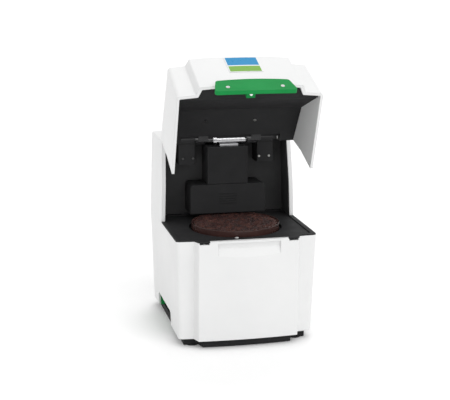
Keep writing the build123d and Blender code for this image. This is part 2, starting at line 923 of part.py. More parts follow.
screw_z = hinge_z - bracket_screw_drop
with BuildPart() as bracket_screws:
    with BuildSketch(Plane.XZ.offset(-bracket_front)):
        for side in (-1, 1):
            first = bracket_inner + bracket_screw_edge
            with Locations((side * first, screw_z), (side * (first + bracket_screw_pitch), screw_z)):
                Circle(bracket_screw_radius)
    extrude(amount=screw_head)
    fillet(bracket_screws.faces().filter_by(Axis.Y).group_by(Axis.Y)[0].edges(), screw_head / 2)
save(bracket_screws, "bracket_screws")

with BuildPart() as hinge_damper:
    for radius, length in ((damper_radius, damper_left + damper_right), (collar_radius, collar_length)):
        with BuildSketch(Plane.YZ.offset(-damper_left)):
            with Locations((hinge_back, hinge_z)):
                Circle(radius)
                Circle(rod_radius + press_gap, mode=Mode.SUBTRACT)
        extrude(amount=length)
    rims = hinge_damper.edges().filter_by(GeomType.CIRCLE).group_by(SortBy.RADIUS)[-1]
    chamfer(rims, rod_chamfer)
save(hinge_damper, "hinge_damper")

saddle_top = hinge_z - damper_radius - press_gap
with BuildPart() as hinge_saddle:
    saddle = rectangle_at(
        Plane.XY.offset(neck_top), -saddle_left, saddle_right,
        hinge_back - barrel_radius, hinge_back + barrel_radius,
    )
    extrude(saddle, amount=saddle_top - neck_top)
save(hinge_saddle, "hinge_saddle")

# The hood's own frame: its pieces are drawn in the closed position on planes that are swung open
swing = radians(hood_opening)


def swung(y, z):
    """Where a point of the closed hood lies with the hood open."""
    back = y - hinge_back
    up = z - hinge_z
    reach = hinge_back + back * cos(swing) + up * sin(swing)
    return (0, reach, hinge_z - back * sin(swing) + up * cos(swing))


hood_up = Vector(0, sin(swing), cos(swing))
hood_rearward = Vector(0, cos(swing), -sin(swing))


def hood_level(z):
    """Plane parallel to the hood's floor at closed height z."""
    return Plane(origin=swung(0, z), x_dir=(1, 0, 0), z_dir=hood_up)


def hood_side(x=0.0):
    """Plane of the hood's side view, with closed Y and Z as its coordinates, at distance x."""
    spot = Vector(*swung(0, 0)) + Vector(x, 0, 0)
    return Plane(origin=spot, x_dir=hood_rearward, z_dir=(1, 0, 0))


def hood_front(y):
    """Plane of the hood's front view at closed distance y, with X and closed Z as its coordinates."""
    return Plane(origin=swung(y, 0), x_dir=(1, 0, 0), z_dir=-hood_rearward)


def hood_plan(z, grow):
    """Plan of the hood at closed height z."""
    width = between(hood_width, hood_top_width, deck, deck + hood_rear_height, z)
    return plan(hood_level(z), width, corner_reach, nose_reach, bay_depth, grow)


def hood_slab(low, high, grow=0.0, mode=Mode.ADD):
    """A slice of the hood's outer form between two closed heights."""
    loft(sections=[hood_plan(low, grow).face(), hood_plan(high, grow).face()], ruled=True, mode=mode)


hood_low = deck + hood_gap
hood_high = deck + hood_rear_height + hood_wall
hood_slope = (hood_rear_height - hood_front_height) / (corner_reach - hood_crest_reach)
tail_slope = (hood_rear_height - hood_tail_height) / (hood_crest_reach + hood_tail_back)


def hood_block(grow=0.0):
    """The whole hood as one block, or its hollow, which is open below and behind."""
    far = nose_reach + bay_depth
    crest = deck + hood_rear_height + grow
    front_top = crest - hood_slope * (far - hood_crest_reach)
    bottom = hood_low if grow > -wall else deck - wall
    if grow > -wall:
        rear = [
            (hood_tail_back, deck + hood_tail_height + grow),
            (-hood_gap, deck + rim_straight), (-hood_gap, bottom),
        ]
    else:
        rear = [(bay_depth, crest - tail_slope * (bay_depth + hood_crest_reach)), (bay_depth, bottom)]
    with BuildPart() as block:
        hood_slab(bottom, hood_high, grow)
        front = [(-far, bottom), (-far, front_top), (-hood_crest_reach, crest)]
        side_view = outline_at(hood_side(), front + rear)
        extrude(side_view, amount=through, both=True, mode=Mode.INTERSECT)
    return block.part


with BuildPart() as hood_form:
    add(hood_block())
    slope_angle = atan2(hood_slope, 1)
    slope_face = hood_form.faces().sort_by(
        Axis(swung(0, 0), hood_up * cos(slope_angle) - hood_rearward * sin(slope_angle))
    )[-1]
    fillet(slope_face.edges().filter_by(Axis.X, reverse=True), hood_edge_round)
hood_outer = hood_form.part
hood_inner = hood_block(-hood_wall)
rear_notch = rectangle_at(hood_level(hood_low), -recess_half, recess_half, -hood_notch, bay_depth)
with BuildPart() as hood_shell:
    add(hood_outer)
    add(hood_inner, mode=Mode.SUBTRACT)
    extrude(rear_notch, amount=hood_rear_height + hood_wall, mode=Mode.SUBTRACT)
save(hood_shell, "hood_shell")

# Black liner inside the hood: a sloping ceiling, a front that slants down to the lower edge, and at the
# rear a recess that rises to a thin sheet under the hood's tail, where the arms are held
liner_slope = (liner_rear_height - liner_bend_height) / (liner_rear_back + liner_bend_reach)
liner_points = [
    (liner_rear_back, deck + liner_rear_height), (-liner_bend_reach, deck + liner_bend_height),
    (-liner_low_reach, deck + liner_low_height), (-nose_reach, deck + liner_low_height),
]


def liner_under(y):
    """Closed height of the lower face of the liner's ceiling."""
    return deck + liner_rear_height - liner_slope * (liner_rear_back - y)


recess_back = liner_rear_back - recess_depth
recess_front = recess_back - liner_sheet
with BuildPart() as recess_room:
    add(hood_block(-hood_wall - seat_gap - liner_sheet))
    room_side = rectangle_at(hood_level(hood_low), -recess_half, recess_half, recess_back, bay_depth)
    extrude(room_side, amount=hood_rear_height, mode=Mode.INTERSECT)
with BuildPart() as hood_liner:
    with BuildSketch(hood_side()):
        with BuildLine():
            visible = Polyline(*liner_points)
            offset(visible, amount=liner_sheet, side=Side.RIGHT)
        make_face()
    extrude(amount=through, both=True)
    recess_face = outline_at(hood_side(), [
        (recess_front, liner_under(recess_front)), (liner_rear_back, deck + liner_rear_height),
        (hood_tail_back, deck + hood_tail_height), (recess_front, deck + hood_rear_height),
    ])
    extrude(recess_face, amount=recess_half + liner_sheet, both=True)
    add(hood_block(-hood_wall - seat_gap), mode=Mode.INTERSECT)
    add(recess_room.part, mode=Mode.SUBTRACT)
    extrude(rear_notch, amount=hood_rear_height, mode=Mode.SUBTRACT)
save(hood_liner, "hood_liner")


def tail_under(y):
    """Closed height of the lower face of the sheet under the hood's tail."""
    crest = deck + hood_rear_height - hood_wall - seat_gap - liner_sheet
    return crest - tail_slope * (y + hood_crest_reach)


arm_lift = arm_thickness / 2 / cos(atan2(tail_slope, 1)) + press_gap
for side, name in ((-1, "hood_arm_left"), (1, "hood_arm_right")):
    start, length = spanned(side, arm_inner, arm_outer)
    with BuildPart() as arm:
        with BuildSketch(hood_side(start)):
            with BuildLine():
                Polyline(
                    (-arm_length, tail_under(-arm_length) - arm_lift),
                    (arm_bend, tail_under(arm_bend) - arm_lift),
                    (hinge_back, hinge_z),
                )
            trace(line_width=arm_thickness)
            with Locations((hinge_back, hinge_z)):
                Circle(barrel_radius)
                Circle(rod_radius + shaft_gap, mode=Mode.SUBTRACT)
        extrude(amount=length)
    save(arm, name)

# Handle, latch, label and screws on the hood
with BuildSketch(hood_front(-nose_reach - through)) as handle_face:
    with BuildLine():
        Line((-handle_half_low, deck + handle_bottom), (-handle_half_top, deck + handle_top - handle_crown))
        ThreePointArc(
            (-handle_half_top, deck + handle_top - handle_crown), (0, deck + handle_top),
            (handle_half_top, deck + handle_top - handle_crown),
        )
        Line((handle_half_top, deck + handle_top - handle_crown), (handle_half_low, deck + handle_bottom))
        ThreePointArc(
            (handle_half_low, deck + handle_bottom), (0, deck + handle_bottom - handle_arch),
            (-handle_half_low, deck + handle_bottom),
        )
    make_face()
    fillet(handle_face.vertices(), handle_round)
screw_sag = nose_bulge * (handle_screw_side / step_half_inner) ** 2
screw_front = nose_reach + handle_proud - screw_sag
with BuildSketch(hood_front(-screw_front - screw_head / 2)) as screw_faces:
    with Locations(*[(side * handle_screw_side, deck - handle_screw_drop) for side in (-1, 1)]):
        Circle(handle_screw_radius)
with BuildPart() as handle_screws:
    extrude(screw_faces.sketch, amount=-2 * screw_head)
    outer = handle_screws.edges().group_by(Axis(swung(0, 0), -hood_rearward))[-1]
    fillet(outer, screw_round)
with BuildPart() as hood_handle:
    hood_slab(deck + handle_bottom - 2 * handle_arch, deck + handle_top + handle_arch, handle_proud)
    extrude(handle_face.sketch, amount=-through - hood_crest_reach, mode=Mode.INTERSECT)
    hood_slab(hood_low, deck + handle_top + 2 * handle_arch, press_gap, Mode.SUBTRACT)
    hood_slab(deck + handle_bottom - 3 * handle_arch, hood_low, handle_standoff, Mode.SUBTRACT)
    extrude(screw_faces.sketch, amount=-2 * screw_head, mode=Mode.SUBTRACT)
save(hood_handle, "hood_handle")
save(handle_screws, "handle_screws")

with BuildPart() as label_plate:
    hood_slab(deck + label_low, deck + label_high, seat_gap + label_proud)
    label_face = rectangle_at(
        hood_front(-nose_reach - through), -label_half, label_half, deck + label_low, deck + label_high
    )
    extrude(label_face, amount=-through - hood_crest_reach, mode=Mode.INTERSECT)
    hood_slab(deck + label_low, deck + label_high, seat_gap, Mode.SUBTRACT)
save(label_plate, "label_plate")

latch_front = nose_reach - hood_wall - seat_gap
with BuildPart() as latch_block:
    latch_face = rectangle_at(
        hood_level(deck + latch_low), -latch_half, latch_half, -latch_front, -latch_back
    )
    extrude(latch_face, amount=liner_low_height - latch_low)
save(latch_block, "latch_block")

with BuildPart() as latch_screw:
    with BuildSketch(hood_level(deck + latch_low)):
        with Locations((0, -latch_reach)):
            Circle(latch_screw_radius)
    extrude(amount=-latch_screw_height)
    tip = latch_screw.faces().sort_by(Axis(swung(0, 0), hood_up))[0]
    fillet(tip.edges(), latch_screw_height / 2)
save(latch_screw, "latch_screw")

liner_angle = atan2(liner_slope, 1)
ceiling_down = hood_rearward * sin(liner_angle) - hood_up * cos(liner_angle)
screw_spot = swung(-liner_screw_reach, liner_under(-liner_screw_reach))
with BuildPart() as liner_screws:
    with BuildSketch(Plane(origin=screw_spot, x_dir=(1, 0, 0), z_dir=ceiling_down)):
        with Locations((-liner_screw_left, 0), (liner_screw_right, 0)):
            Circle(liner_screw_radius)
    extrude(amount=screw_head)
    fillet(liner_screws.edges().group_by(Axis(screw_spot, ceiling_down))[-1], screw_head / 2)
save(liner_screws, "liner_screws")

# Polished stud on the deck, and the magnet under it that holds the closed hood
stud_reach = dish_back_reach + well_radius + stud_margin + stud_radius
with BuildPart() as deck_stud:
    with BuildSketch(Plane.XY.offset(tray_top)):
        with Locations((stud_x, -stud_reach)):
            Circle(stud_radius)
    extrude(amount=stud_height)
    fillet(deck_stud.faces().sort_by(Axis.Z)[-1].edges(), stud_round)
save(deck_stud, "deck_stud")

with BuildPart() as catch_magnet:
    with BuildSketch(Plane.XY.offset(tray_low)):
        with Locations((0, -latch_reach)):
            Circle(magnet_radius)
    extrude(amount=-magnet_height)
save(catch_magnet, "catch_magnet")

# Window, lens tube and mirror that take the light from the dish to the column
glass_low = head_low + head_wall
with BuildPart() as head_window:
    glass = rectangle_at(
        Plane.XY.offset(glass_low), -window_left - window_border, window_right + window_border,
        window_back - window_half_depth - window_border, window_back + window_half_depth + window_border,
    )
    extrude(glass, amount=glass_thickness)
save(head_window, "head_window")

tube_low = glass_low + glass_thickness
with BuildPart() as lens_tube:
    with BuildSketch(Plane.XY.offset(tube_low)):
        with Locations((0, window_back)):
            Circle(tube_radius)
            Circle(tube_radius - tube_wall, mode=Mode.SUBTRACT)
    extrude(amount=tube_length)
save(lens_tube, "lens_tube")

mirror_reach = mirror_span / 2 * cos(radians(mirror_tilt))
mirror_back = mirror_thickness * cos(radians(mirror_tilt))
head_ceiling = head_top - head_wall
mirror_low = (window_back - mirror_reach, beam_z - mirror_reach)
mirror_high = (window_back + mirror_reach, beam_z + mirror_reach)
mount_low = (mirror_low[0] - mirror_back, mirror_low[1] + mirror_back)
mount_high = (mirror_high[0] - mirror_back, mirror_high[1] + mirror_back)
with BuildPart() as fold_mirror:
    mirror_face = outline_at(Plane.YZ, [mirror_low, mirror_high, mount_high, mount_low])
    extrude(mirror_face, amount=mirror_half, both=True)
save(fold_mirror, "fold_mirror")

with BuildPart() as mirror_mount:
    mount_face = outline_at(
        Plane.YZ, [mount_low, mount_high, (mount_high[0], head_ceiling), (mount_low[0], head_ceiling)]
    )
    extrude(mount_face, amount=mirror_half, both=True)
save(mirror_mount, "mirror_mount")

# Lamp beside the mirror, tilted so that it lights the sample under the lens tube
lamp_angle = atan2(lamp_side - lamp_aim, lamp_lift)
lamp_spot = (-lamp_side, window_back, head_low + lamp_lift)
lamp_axis = Axis(lamp_spot, (-sin(lamp_angle), 0, cos(lamp_angle)))
lamp_plane = Plane(origin=lamp_spot, x_dir=(cos(lamp_angle), 0, sin(lamp_angle)), z_dir=(0, -1, 0))
cup_belly = (cup_belly_radius, -cup_depth / 2)
with BuildPart() as lamp_reflector:
    with BuildSketch(lamp_plane):
        with BuildLine():
            ThreePointArc((cup_neck, 0), cup_belly, (cup_radius, -cup_depth))
            Line((cup_radius, -cup_depth), (cup_radius - cup_wall, -cup_depth))
            ThreePointArc(
                (cup_radius - cup_wall, -cup_depth), (cup_belly[0] - cup_wall, cup_belly[1]),
                (cup_neck - cup_wall, 0),
            )
            Line((cup_neck - cup_wall, 0), (cup_neck, 0))
        make_face()
    revolve(axis=lamp_axis)
save(lamp_reflector, "lamp_reflector")

with BuildPart() as lamp_bulb:
    with BuildSketch(lamp_plane):
        with BuildLine():
            Polyline((0, -bulb_length - bulb_radius), (0, 0), (bulb_radius, 0), (bulb_radius, -bulb_length))
            RadiusArc((bulb_radius, -bulb_length), (0, -bulb_length - bulb_radius), bulb_radius)
        make_face()
    revolve(axis=lamp_axis)
save(lamp_bulb, "lamp_bulb")

holder_end = lamp_plane.from_local_coords((0, holder_length))
with BuildPart() as lamp_holder:
    with BuildSketch(lamp_plane):
        with Locations((holder_radius / 2, holder_length / 2)):
            Rectangle(holder_radius, holder_length)
    revolve(axis=lamp_axis)
    hanger = rectangle_at(
        Plane.XY.offset(holder_end.Z), holder_end.X - hanger_half, holder_end.X + hanger_half,
        window_back - hanger_half, window_back + hanger_half,
    )
    extrude(hanger, amount=head_ceiling - holder_end.Z)
save(lamp_holder, "lamp_holder")

spectrometer_front = bay_depth + liner_wall
spectrometer_base = deck + spectrometer_low
spectrometer_back = spectrometer_front + spectrometer_depth
with BuildPart() as spectrometer_housing:
    box_face = rectangle_at(
        Plane.XY.offset(spectrometer_base), -spectrometer_half, spectrometer_half,
        spectrometer_front, spectrometer_back,
    )
    extrude(box_face, amount=spectrometer_height)
    room_face = rectangle_at(
        Plane.XY.offset(spectrometer_base + spectrometer_wall),
        spectrometer_wall - spectrometer_half, spectrometer_half - spectrometer_wall,
        spectrometer_front + spectrometer_wall, spectrometer_back - spectrometer_wall,
    )
    extrude(room_face, amount=spectrometer_height - 2 * spectrometer_wall, mode=Mode.SUBTRACT)
    with BuildSketch(Plane.XZ.offset(-spectrometer_front - spectrometer_wall)):
        with Locations((0, beam_z)):
            Circle(beam_radius)
    extrude(amount=spectrometer_wall, mode=Mode.SUBTRACT)
save(spectrometer_housing, "spectrometer_housing")

# Power supply and main board on the floor
supply_left = grip_outer - grip_depth
supply_front = plate_back + supply_margin
supply_back = supply_front + supply_length
with BuildPart() as power_supply:
    supply_face = rectangle_at(
        Plane.XY.offset(floor_top), -supply_left, -supply_right, supply_front, supply_back
    )
    extrude(supply_face, amount=supply_height)
    with BuildSketch(Plane.XY.offset(floor_top + supply_height)):
        with Locations((-(supply_left + supply_right) / 2, (supply_front + supply_back) / 2)):
            with GridLocations(0, slot_pitch, 1, slot_count):
                Rectangle(slot_length, slot_width)
    extrude(amount=-slot_depth, mode=Mode.SUBTRACT)
save(power_supply, "power_supply")

with BuildPart() as main_board:
    board_face = rectangle_at(
        Plane.XY.offset(floor_top + standoff_height), board_left, board_right, board_front, board_back
    )
    extrude(board_face, amount=board_thickness)
save(main_board, "main_board")

# Rear panel behind the shell's window, with its ports, switch and fan
panel_back = rear_reach - wall
panel_front = panel_back - panel_thickness
panel_low = shell_bottom + window_low - panel_margin
panel_high = shell_bottom + window_high + panel_margin
panel_half = window_half + panel_margin
port_sizes = {
    inlet_z: (inlet_width, inlet_height),
    switch_z: (switch_width, switch_height),
    port_z: (port_width, port_height),
}
with BuildPart() as rear_panel:
    panel_face = rectangle_at(Plane.XZ.offset(-panel_back), -panel_half, panel_half, panel_low, panel_high)
    extrude(panel_face, amount=panel_thickness)
    with BuildSketch(Plane.XZ.offset(-panel_back)):
        for level, (width, height) in port_sizes.items():
            with Locations((port_column, level)):
                Rectangle(width, height)
        with Locations((fan_x, fan_z)):
            Circle(fan_bore)
    extrude(amount=panel_thickness, mode=Mode.SUBTRACT)
save(rear_panel, "rear_panel")


def port_body(level, width, height, depth):
    """Block through the panel with a flange on its outer face, centred on the column of ports."""
    with BuildPart() as port:
        with BuildSketch(Plane.XZ.offset(-panel_back)):
            with Locations((port_column, level)):
                Rectangle(width - 2 * press_gap, height - 2 * press_gap)
        extrude(amount=depth)
        with BuildSketch(Plane.XZ.offset(-panel_back)):
            with Locations((port_column, level)):
                RectangleRounded(width + 2 * flange_border, height + 2 * flange_border, flange_border / 2)
        extrude(amount=-flange_depth)
    return port.part


flange_face = Plane.XZ.offset(-panel_back - flange_depth)
with BuildPart() as power_inlet:
    add(port_body(inlet_z, inlet_width, inlet_height, inlet_depth))
    with BuildSketch(flange_face):
        with Locations((port_column, inlet_z)):
            RectangleRounded(inlet_width - 2 * socket_wall, inlet_height - 2 * socket_wall, socket_wall)
    extrude(amount=socket_depth + flange_depth, mode=Mode.SUBTRACT)
    with BuildSketch(Plane.XZ.offset(socket_depth - panel_back)):
        with Locations((port_column, inlet_z + blade_offset)):
            Rectangle(blade_thickness, blade_width)
        with Locations((port_column - blade_pitch, inlet_z - blade_offset),
                       (port_column + blade_pitch, inlet_z - blade_offset)):
            Rectangle(blade_thickness, blade_width)
    extrude(amount=-blade_length)
save(power_inlet, "power_inlet")

rocker_y = panel_back + flange_depth - rocker_face
rocker_end = rocker_face + rocker_half * tan(radians(rocker_tilt))
rocker_radius = Vector(rocker_half, rocker_end).length
pin_half = rocker_width / 2 + rocker_pin_length


def pin_line(radius, reach):
    """Round pin along the rocker's pivot, reach mm to both sides of its middle."""
    with BuildPart() as pin:
        with BuildSketch(Plane(origin=(port_column, rocker_y, switch_z), x_dir=(0, 1, 0), z_dir=(1, 0, 0))):
            Circle(radius)
        extrude(amount=reach, both=True)
    return pin.part


with BuildPart() as switch_frame:
    add(port_body(switch_z, switch_width, switch_height, switch_depth))
    with BuildSketch(flange_face):
        with Locations((port_column, switch_z)):
            Rectangle(rocker_width + 2 * seat_gap, 2 * rocker_radius + 2 * seat_gap)
    extrude(amount=rocker_face + rocker_room, mode=Mode.SUBTRACT)
    add(pin_line(rocker_pin_radius + shaft_gap, pin_half + press_gap), mode=Mode.SUBTRACT)
save(switch_frame, "switch_frame")

rocker_axis = Axis((port_column, rocker_y, switch_z), (1, 0, 0))
with BuildPart() as rocker_flat:
    with BuildSketch(Plane(origin=(port_column, rocker_y, switch_z), x_dir=(0, 1, 0), z_dir=(1, 0, 0))):
        with BuildLine():
            Polyline(
                (rocker_end, -rocker_half), (rocker_face, 0), (rocker_end, rocker_half),
                (rocker_shoulder, rocker_half), (-rocker_depth, rocker_heel),
                (-rocker_depth, -rocker_heel), (rocker_shoulder, -rocker_half), close=True,
            )
        make_face()
    extrude(amount=rocker_width / 2, both=True)
with BuildPart() as power_rocker:
    add(rocker_flat.part.rotate(rocker_axis, rocker_tilt))
    add(pin_line(rocker_pin_radius, pin_half))
save(power_rocker, "power_rocker")

with BuildPart() as data_port:
    add(port_body(port_z, port_width, port_height, port_depth))
    with BuildSketch(flange_face):
        with Locations((port_column, port_z)):
            Rectangle(port_width - 2 * port_wall, port_height - 2 * port_wall)
    extrude(amount=port_socket + flange_depth, mode=Mode.SUBTRACT)
save(data_port, "data_port")

# Fan on the inside of the panel
fan_front = panel_front - fan_depth
fan_spot = (fan_x, fan_z)
hub_front = fan_front + fan_floor + seat_gap
hub_back = panel_front - seat_gap - grille_depth
with BuildPart() as fan_frame:
    with BuildSketch(Plane.XZ.offset(-panel_front)):
        with Locations(fan_spot):
            RectangleRounded(fan_size, fan_size, corner_round)
            Circle(fan_bore, mode=Mode.SUBTRACT)
    extrude(amount=fan_depth)
    with BuildSketch(Plane.XZ.offset(-fan_front - fan_floor)):
        with Locations(fan_spot):
            Circle(fan_hub)
            with PolarLocations((fan_bore + fan_hub) / 2, fan_struts, rotate=True):
                Rectangle(fan_bore - fan_hub + fan_strut, fan_strut)
    extrude(amount=fan_floor)
    with BuildSketch(Plane.XZ.offset(-fan_front - fan_floor)):
        with Locations(fan_spot):
            Circle(fan_axle)
    extrude(amount=fan_front + fan_floor - hub_back)
save(fan_frame, "fan_frame")

fan_middle = (fan_x, (hub_front + hub_back) / 2, fan_z)
with BuildPart() as fan_blade:
    with BuildSketch(Plane(origin=fan_middle, x_dir=(0, 1, 0), z_dir=(1, 0, 0)).offset(fan_hub - fan_strut)):
        blade_chord = (hub_back - hub_front) * cos(radians(fan_blade_turn))
        Rectangle(blade_chord, fan_blade_thickness, rotation=fan_blade_turn)
    extrude(amount=fan_blade_reach - fan_hub + fan_strut)
with BuildPart() as fan_rotor:
    with BuildSketch(Plane.XZ.offset(-hub_back)):
        with Locations(fan_spot):
            Circle(fan_hub)
    extrude(amount=hub_back - hub_front)
    for number in range(fan_blades):
        add(fan_blade.part.rotate(Axis(fan_middle, (0, 1, 0)), 360 * number / fan_blades))
    with BuildSketch(Plane.XZ.offset(-hub_back)):
        with Locations(fan_spot):
            Circle(fan_axle + shaft_gap)
    extrude(amount=hub_back - hub_front, mode=Mode.SUBTRACT)
save(fan_rotor, "fan_rotor")

grille_reach = fan_bore + grille_wire
with BuildPart() as fan_grille:
    with BuildSketch(Plane.XZ.offset(-panel_back)):
        with Locations(fan_spot):
            for number in range(grille_rings):
                ring = grille_reach * (number + 1) / grille_rings
                with BuildSketch(mode=Mode.PRIVATE) as wire:
                    Circle(ring + grille_wire)
                    Circle(ring, mode=Mode.SUBTRACT)
                add(wire.sketch)
            with PolarLocations(grille_reach / 2, grille_spokes, start_angle=180 / grille_spokes):
                Rectangle(grille_reach, grille_wire)
    extrude(amount=-grille_depth)
save(fan_grille, "fan_grille")

screw_x = (window_half + panel_half) / 2
with BuildPart() as panel_screws:
    with BuildSketch(Plane.XZ.offset(-rear_reach)):
        for x in (-screw_x, screw_x):
            with Locations((x, panel_low + panel_screw_inset), (x, panel_high - panel_screw_inset)):
                Circle(panel_screw_radius)
    extrude(amount=-screw_head)
    fillet(panel_screws.edges().group_by(Axis.Y)[-1], screw_head / 2)
save(panel_screws, "panel_screws")
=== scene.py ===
import bpy
import json
import random
from math import cos, pi, radians, sin
from mathutils import Euler, Matrix, Vector


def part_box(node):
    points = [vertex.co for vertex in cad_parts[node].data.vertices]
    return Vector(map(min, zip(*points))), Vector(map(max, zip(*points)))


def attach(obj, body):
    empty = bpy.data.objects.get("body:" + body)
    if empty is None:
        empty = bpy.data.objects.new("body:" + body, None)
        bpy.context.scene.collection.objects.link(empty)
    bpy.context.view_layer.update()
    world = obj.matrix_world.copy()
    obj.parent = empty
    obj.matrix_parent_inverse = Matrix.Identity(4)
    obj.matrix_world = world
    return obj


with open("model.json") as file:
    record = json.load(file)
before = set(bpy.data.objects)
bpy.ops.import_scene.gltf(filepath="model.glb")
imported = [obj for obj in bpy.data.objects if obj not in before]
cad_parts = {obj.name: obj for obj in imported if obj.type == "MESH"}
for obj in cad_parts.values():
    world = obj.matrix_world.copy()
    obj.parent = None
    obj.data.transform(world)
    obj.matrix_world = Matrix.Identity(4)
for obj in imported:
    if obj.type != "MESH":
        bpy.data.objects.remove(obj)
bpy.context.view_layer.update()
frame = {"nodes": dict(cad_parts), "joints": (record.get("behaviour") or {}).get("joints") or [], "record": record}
nodes = frame["nodes"]
scene = bpy.context.scene
scene.view_settings.view_transform = "Standard"

# The hood's own upward direction as it rests open, from the joint that it swings on. Lengths are in metres.
hood_hinge = [joint for joint in frame["joints"] if joint["name"] == "hood_hinge"][0]
HINGE = Vector(hood_hinge["pos_m"])
HOOD_SWING = radians(-hood_hinge["range_deg"][0])
HOOD_UP = Vector((0.0, sin(HOOD_SWING), cos(HOOD_SWING)))

# The label's fields. Heights are above the deck with the hood shut, and the split is a share of the height.
LABEL_LOW = 0.041
LABEL_HIGH = 0.089
LABEL_SPLIT = 0.42
LABEL_LINE = 0.0014
LABEL_BLUR = 0.0003

# The hinge rod is bright along the damper and just past its right-hand end
ROD_PAST_DAMPER = 0.001
ROD_FADE = 0.00025
SCREW_FADE = 0.002

# Most values of a noise lie in the first range. The second, narrower one gives marks with clearer limits.
NOISE_SPAN = (0.3, 0.7)
MARK_SPAN = (0.35, 0.65)
FINER_PATCHES = 2.5
EDGE_SAMPLES = 4
METAL_EDGE = 0.0003
FINE_RELIEF = 0.00001


class Skin:
    """Adds and joins the shader nodes of one material."""

    def __init__(self, name):
        self.material = bpy.data.materials.new(name)
        self.material.use_nodes = True
        self.tree = self.material.node_tree
        self.tree.nodes.clear()
        output = self.tree.nodes.new("ShaderNodeOutputMaterial")
        self.shader = self.tree.nodes.new("ShaderNodeBsdfPrincipled")
        self.join(self.shader.outputs[0], output.inputs[0])
        self.place = self.tree.nodes.new("ShaderNodeTexCoord").outputs["Object"]

    def join(self, source, target):
        self.tree.links.new(source, target)

    def set(self, socket, value):
        """Gives one of the shader's sockets a node's output or a plain value."""
        target = self.shader.inputs[socket]
        if hasattr(value, "is_linked"):
            self.join(value, target)
        else:
            target.default_value = value

    def sideways(self):
        """Distance to the right of the part's centre plane."""
        parts = self.tree.nodes.new("ShaderNodeSeparateXYZ")
        self.join(self.place, parts.inputs[0])
        return parts.outputs["X"]

    def noise(self, scale, detail=3.0, roughness=0.5, stretch=None):
        """Noise over the object, drawn out along an axis where stretch says so."""
        node = self.tree.nodes.new("ShaderNodeTexNoise")
        for socket, number in (("Scale", scale), ("Detail", detail), ("Roughness", roughness)):
            node.inputs[socket].default_value = number
        place = self.place
        if stretch:
            mapping = self.tree.nodes.new("ShaderNodeMapping")
            mapping.inputs["Scale"].default_value = stretch
            self.join(place, mapping.inputs["Vector"])
            place = mapping.outputs["Vector"]
        self.join(place, node.inputs["Vector"])
        return node.outputs["Fac"]

    def spread(self, value, span=NOISE_SPAN, result=(0.0, 1.0)):
        """The value with one range mapped onto another and held within it."""
        node = self.tree.nodes.new("ShaderNodeMapRange")
        for socket, number in zip(("From Min", "From Max", "To Min", "To Max"), (*span, *result)):
            node.inputs[socket].default_value = number
        self.join(value, node.inputs["Value"])
        return node.outputs["Result"]

    def past(self, value, edge, blur):
        """Zero below the edge and one above it, with a narrow blend between."""
        return self.spread(value, (edge - blur, edge + blur))

    def mix(self, factor, first, second):
        """The first colour where the factor is zero and the second where it is one."""
        node = self.tree.nodes.new("ShaderNodeMix")
        node.data_type = "RGBA"
        for socket, colour in zip([s for s in node.inputs if s.type == "RGBA"], (first, second)):
            if hasattr(colour, "is_linked"):
                self.join(colour, socket)
            else:
                socket.default_value = (*colour, 1.0)
        self.join(factor, [s for s in node.inputs if s.name == "Factor" and s.type == "VALUE"][0])
        return [s for s in node.outputs if s.type == "RGBA"][0]

    def bump(self, height, depth, strength, normal=None):
        """A shallow relief, over another normal where one is given."""
        node = self.tree.nodes.new("ShaderNodeBump")
        node.inputs["Strength"].default_value = strength
        node.inputs["Distance"].default_value = depth
        self.join(height, node.inputs["Height"])
        if normal is not None:
            self.join(normal, node.inputs["Normal"])
        return node.outputs["Normal"]

    def soft_edges(self, radius):
        """A normal that rounds the edges by the radius."""
        node = self.tree.nodes.new("ShaderNodeBevel")
        node.samples = EDGE_SAMPLES
        node.inputs["Radius"].default_value = radius
        return node.outputs["Normal"]


def moulded(name, dark, light, rough, mottle, grain, depth, edge, specular):
    """Moulded plastic: a faint mottle in the colour, a fine grain, and wiped patches in the gloss."""
    skin = Skin(name)
    patches = skin.noise(mottle * FINER_PATCHES, detail=5.0, roughness=0.65)
    skin.set("Base Color", skin.mix(skin.spread(skin.noise(mottle, detail=4.0, roughness=0.6)), dark, light))
    skin.set("Roughness", skin.spread(patches, result=rough))
    skin.set("Normal", skin.bump(skin.noise(grain, detail=2.0), depth, 0.5, skin.soft_edges(edge)))
    skin.set("Specular IOR Level", specular)
    return skin.material


def worked(skin, tone, marks, rough, depth=FINE_RELIEF):
    """Finishes a metal: its marks as a shallow relief, and patches dulled by handling."""
    skin.set("Base Color", tone)
    skin.set("Roughness", skin.spread(skin.noise(30.0, detail=4.0, roughness=0.6), result=rough))
    skin.set("Normal", skin.bump(marks, depth, 0.6, skin.soft_edges(METAL_EDGE)))
    skin.set("Metallic", 1.0)
    return skin.material


def metal(name, dark, light, rough, scale=60.0, stretch=None, depth=FINE_RELIEF):
    """Plain metal with fine marks, drawn out along one direction where stretch says so."""
    skin = Skin(name)
    marks = skin.noise(scale, detail=4.0, roughness=0.7, stretch=stretch)
    return worked(skin, skin.mix(skin.spread(marks, MARK_SPAN), dark, light), marks, rough, depth)


def hinge_steel(name):
    """Ground steel rod, bright between its blackened ends."""
    damper_low, damper_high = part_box("hinge_damper")
    skin = Skin(name)
    marks = skin.noise(60.0, detail=4.0, roughness=0.7, stretch=(60.0, 1.0, 1.0))
    bright = skin.mix(skin.spread(marks, MARK_SPAN), (0.46, 0.46, 0.47), (0.66, 0.66, 0.67))
    blackened = skin.mix(marks, (0.04, 0.04, 0.04), (0.06, 0.06, 0.06))
    place = skin.sideways()
    from_left = skin.mix(skin.past(place, damper_low.x - ROD_FADE, ROD_FADE), blackened, bright)
    past_right = skin.past(place, damper_high.x + ROD_PAST_DAMPER + ROD_FADE, ROD_FADE)
    return worked(skin, skin.mix(past_right, from_left, blackened), marks, (0.22, 0.34))


